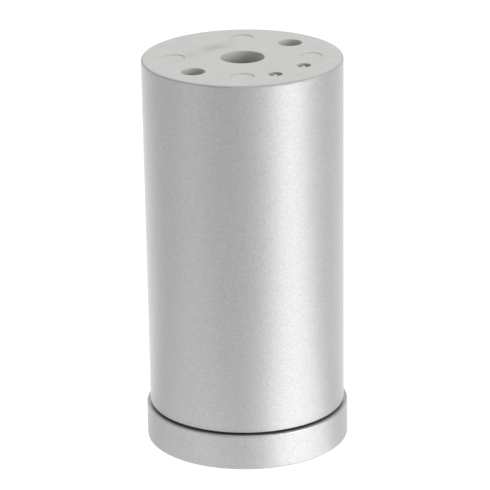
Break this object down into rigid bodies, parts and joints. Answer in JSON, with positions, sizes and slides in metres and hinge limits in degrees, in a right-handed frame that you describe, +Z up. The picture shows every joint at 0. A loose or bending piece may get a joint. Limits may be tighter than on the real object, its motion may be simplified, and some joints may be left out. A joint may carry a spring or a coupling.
{
  "type": "adjustable furniture leg",
  "caption": "Round furniture leg with a drilled mounting face and a cup-shaped foot that winds in and out on a threaded spindle to level it.",
  "frame": {"origin": "centre of the glide's underside, on the floor, with the foot wound right in", "axes": "+Z up along the leg's axis, towards the mounting face; the two screw holes lie at 45 and 225 degrees from +X"},
  "size_m": [0.0512, 0.0512, 0.1],
  "materials": {
    "silver_lacquer": "satin metallic silver lacquer on moulded plastic",
    "bare_grey_plastic": "bare light grey moulded plastic, matt",
    "black_nylon": "moulded black nylon, satin",
    "zinc_steel": "bright zinc plating",
    "white_acetal": "moulded off-white acetal, satin"
  },
  "bodies": {
    "leg": {"leg_shell": "silver_lacquer", "spindle_carrier": "black_nylon", "spindle_nut": "zinc_steel", "nut_retainer": "black_nylon", "carrier_screw_1": "zinc_steel", "carrier_screw_2": "zinc_steel"},
    "glide": {"glide_disc": "white_acetal"},
    "foot": {"spindle": "zinc_steel", "foot_cup": "silver_lacquer", "foot_core": "black_nylon"}
  },
  "joints": [
    {"name": "foot_travel", "type": "slide", "parent": "leg", "child": "glide", "axis": [0, 0, -1], "range_m": [0, 0.015]},
    {"name": "foot_turn", "type": "hinge", "parent": "glide", "child": "foot", "pos_m": [0, 0, 0], "axis": [0, 0, -1], "range_deg": [0, 3600]}
  ],
  "couplings": [
    {"joint": "foot_travel", "follows": "foot_turn", "m_per_rad": 0.00023873}
  ]
}
